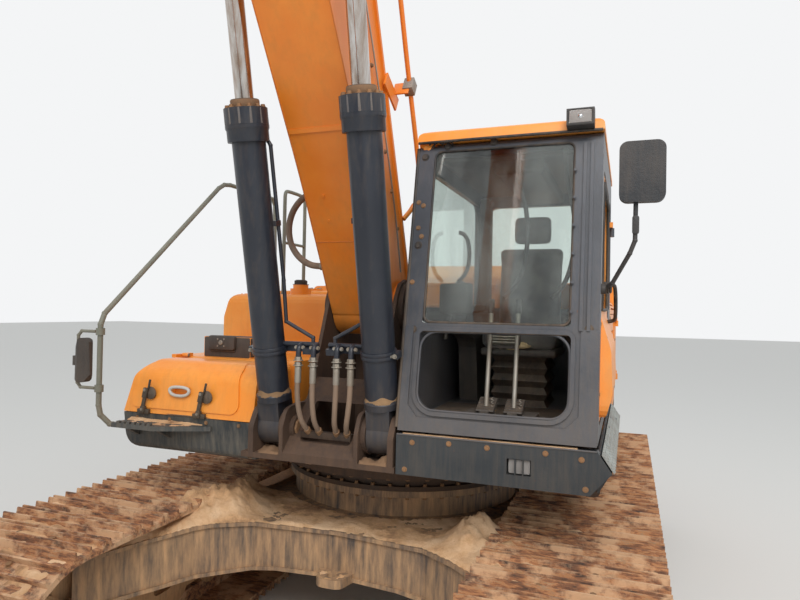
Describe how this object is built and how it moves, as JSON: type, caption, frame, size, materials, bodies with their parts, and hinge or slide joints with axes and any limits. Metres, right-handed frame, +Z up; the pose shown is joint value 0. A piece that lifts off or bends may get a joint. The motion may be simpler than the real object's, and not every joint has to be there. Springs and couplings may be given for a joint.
{
  "type": "crawler excavator",
  "caption": "Crawler excavator with a swinging upper body, side cab, raised two-piece digging arm, bucket linkage and steel tracks.",
  "frame": {"origin": "centre of the footprint box at ground level, on the machine's centre plane", "axes": "-Y is the front, where the boom and bucket point; +X is the operator's left, the cab side; +Z is up"},
  "size_m": [3.64, 9.7479, 7.5764],
  "materials": {
    "body_paint": "worn semi-gloss",
    "frame_paint": "worn satin",
    "rusty_steel": "rusted and polished by soil",
    "ring_steel": "satin",
    "rod_chrome": "polished",
    "clear_glass": "tinted",
    "seat_cloth": "worn",
    "dark_plastic": "matte",
    "rail_paint": "satin",
    "hose_rubber": "matte"
  },
  "bodies": {
    "undercarriage": {"lower_frame": "frame_paint", "track_frames": "frame_paint", "track_left": "rusty_steel", "track_right": "rusty_steel", "idlers": "frame_paint", "sprockets": "frame_paint", "track_rollers": "frame_paint", "carrier_rollers": "frame_paint", "slew_ring_lower": "ring_steel"},
    "house": {"slew_ring_upper": "ring_steel", "deck": "frame_paint", "counterweight": "body_paint", "cab_frame": "frame_paint", "cab_roof": "body_paint", "cab_glazing": "clear_glass", "seat": "seat_cloth", "controls": "dark_plastic", "cab_skirt": "frame_paint", "left_housing": "body_paint", "fuel_tank": "body_paint", "hydraulic_tank": "body_paint", "right_housing": "body_paint", "engine_block": "frame_paint", "engine_surround": "body_paint", "storage_box": "frame_paint", "handrails": "rail_paint", "mirrors": "dark_plastic", "exhaust": "rail_paint", "work_lamps": "dark_plastic", "front_hoses": "hose_rubber"},
    "boom": {"boom": "body_paint", "boom_pipes": "ring_steel"},
    "arm": {"arm": "body_paint"},
    "bucket": {"bucket": "rusty_steel"},
    "rocker": {"rocker": "body_paint"},
    "link": {"link": "body_paint"},
    "arm_barrel": {"arm_barrel": "frame_paint"},
    "arm_rod": {"arm_rod": "rod_chrome"},
    "bucket_barrel": {"bucket_barrel": "frame_paint"},
    "bucket_rod": {"bucket_rod": "rod_chrome"},
    "boom_barrel_left": {"boom_barrel_left": "frame_paint"},
    "boom_rod_left": {"boom_rod_left": "rod_chrome"},
    "boom_barrel_right": {"boom_barrel_right": "frame_paint"},
    "boom_rod_right": {"boom_rod_right": "rod_chrome"},
    "cab_door": {"cab_door": "body_paint", "door_glazing": "clear_glass"},
    "hood": {"hood": "body_paint"},
    "left_door": {"left_door": "body_paint"},
    "right_door": {"right_door": "body_paint"},
    "storage_lid": {"storage_lid": "body_paint"}
  },
  "joints": [
    {"name": "swing", "type": "hinge", "parent": "undercarriage", "child": "house", "pos_m": [0, 1.475, 0], "axis": [0, 0, 1], "continuous": true},
    {"name": "boom_lift", "type": "hinge", "parent": "house", "child": "boom", "pos_m": [0, 0.745, 2.18], "axis": [-1, 0, 0], "range_deg": [-71, 32.9]},
    {"name": "arm_swing", "type": "hinge", "parent": "boom", "child": "arm", "pos_m": [0, -4.06332, 6.47913], "axis": [1, 0, 0], "range_deg": [-88, 24]},
    {"name": "bucket_curl", "type": "hinge", "parent": "arm", "child": "bucket", "pos_m": [0, -4.06332, 3.27913], "axis": [1, 0, 0], "range_deg": [-90, 80]},
    {"name": "rocker_swing", "type": "hinge", "parent": "arm", "child": "rocker", "pos_m": [0, -4.09332, 3.75913], "axis": [1, 0, 0], "range_deg": [-67.15, 59.7]},
    {"name": "link_swing", "type": "hinge", "parent": "bucket", "child": "link", "pos_m": [0, -4.52231, 3.01413], "axis": [1, 0, 0], "range_deg": [-59.3, 66.7]},
    {"name": "arm_cylinder_tilt", "type": "hinge", "parent": "boom", "child": "arm_barrel", "pos_m": [0, -1.08406, 5.76044], "axis": [1, 0, 0], "range_deg": [-6.26, 1.78]},
    {"name": "arm_cylinder_slide", "type": "slide", "parent": "arm_barrel", "child": "arm_rod", "axis": [0, -0.8912, 0.4535], "range_m": [-1.2911, 0.3529]},
    {"name": "bucket_cylinder_tilt", "type": "hinge", "parent": "arm", "child": "bucket_barrel", "pos_m": [0, -4.68332, 6.19913], "axis": [1, 0, 0], "range_deg": [-1.3, 1.45]},
    {"name": "bucket_cylinder_slide", "type": "slide", "parent": "bucket_barrel", "child": "bucket_rod", "axis": [0, -0.0374, -0.9993], "range_m": [-0.6607, 0.5874]},
    {"name": "boom_cylinder_left_tilt", "type": "hinge", "parent": "house", "child": "boom_barrel_left", "pos_m": [0, 0.12, 1.468], "axis": [-1, 0, 0], "range_deg": [-64, 29.71]},
    {"name": "boom_cylinder_left_slide", "type": "slide", "parent": "boom_barrel_left", "child": "boom_rod_left", "axis": [0, -0.2182, 0.9759], "range_m": [-1.0667, 0.4948]},
    {"name": "boom_cylinder_right_tilt", "type": "hinge", "parent": "house", "child": "boom_barrel_right", "pos_m": [0, 0.12, 1.468], "axis": [-1, 0, 0], "range_deg": [-64, 29.71]},
    {"name": "boom_cylinder_right_slide", "type": "slide", "parent": "boom_barrel_right", "child": "boom_rod_right", "axis": [0, -0.2182, 0.9759], "range_m": [-1.0667, 0.4948]},
    {"name": "cab_door_hinge", "type": "hinge", "parent": "house", "child": "cab_door", "pos_m": [1.508, 1.363, 1.7], "axis": [0, 0, 1], "range_deg": [0, 150]},
    {"name": "hood_hinge", "type": "hinge", "parent": "house", "child": "hood", "pos_m": [0, 2.479, 2.412], "axis": [1, 0, 0], "range_deg": [0, 60]},
    {"name": "left_door_hinge", "type": "hinge", "parent": "house", "child": "left_door", "pos_m": [1.508, 3.826, 1.48], "axis": [0, 0, 1], "range_deg": [0, 110]},
    {"name": "right_door_hinge", "type": "hinge", "parent": "house", "child": "right_door", "pos_m": [-1.508, 3.826, 1.48], "axis": [0, 0, -1], "range_deg": [0, 110]},
    {"name": "storage_lid_hinge", "type": "hinge", "parent": "house", "child": "storage_lid", "pos_m": [0, 0.547, 1.818], "axis": [-1, 0, 0], "range_deg": [0, 75]}
  ],
  "couplings": [
    {"joint": "rocker_swing", "follows": "bucket_curl", "ratio": 0.745},
    {"joint": "link_swing", "follows": "bucket_curl", "ratio": -0.74},
    {"joint": "arm_cylinder_tilt", "follows": "arm_swing", "ratio": 0.07},
    {"joint": "arm_cylinder_slide", "follows": "arm_swing", "m_per_rad": 0.84},
    {"joint": "bucket_cylinder_tilt", "follows": "bucket_curl", "ratio": -0.015},
    {"joint": "bucket_cylinder_slide", "follows": "bucket_curl", "m_per_rad": 0.42},
    {"joint": "boom_cylinder_left_tilt", "follows": "boom_lift", "ratio": 0.9},
    {"joint": "boom_cylinder_left_slide", "follows": "boom_lift", "m_per_rad": 0.86},
    {"joint": "boom_cylinder_right_tilt", "follows": "boom_lift", "ratio": 0.9},
    {"joint": "boom_cylinder_right_slide", "follows": "boom_lift", "m_per_rad": 0.86}
  ]
}
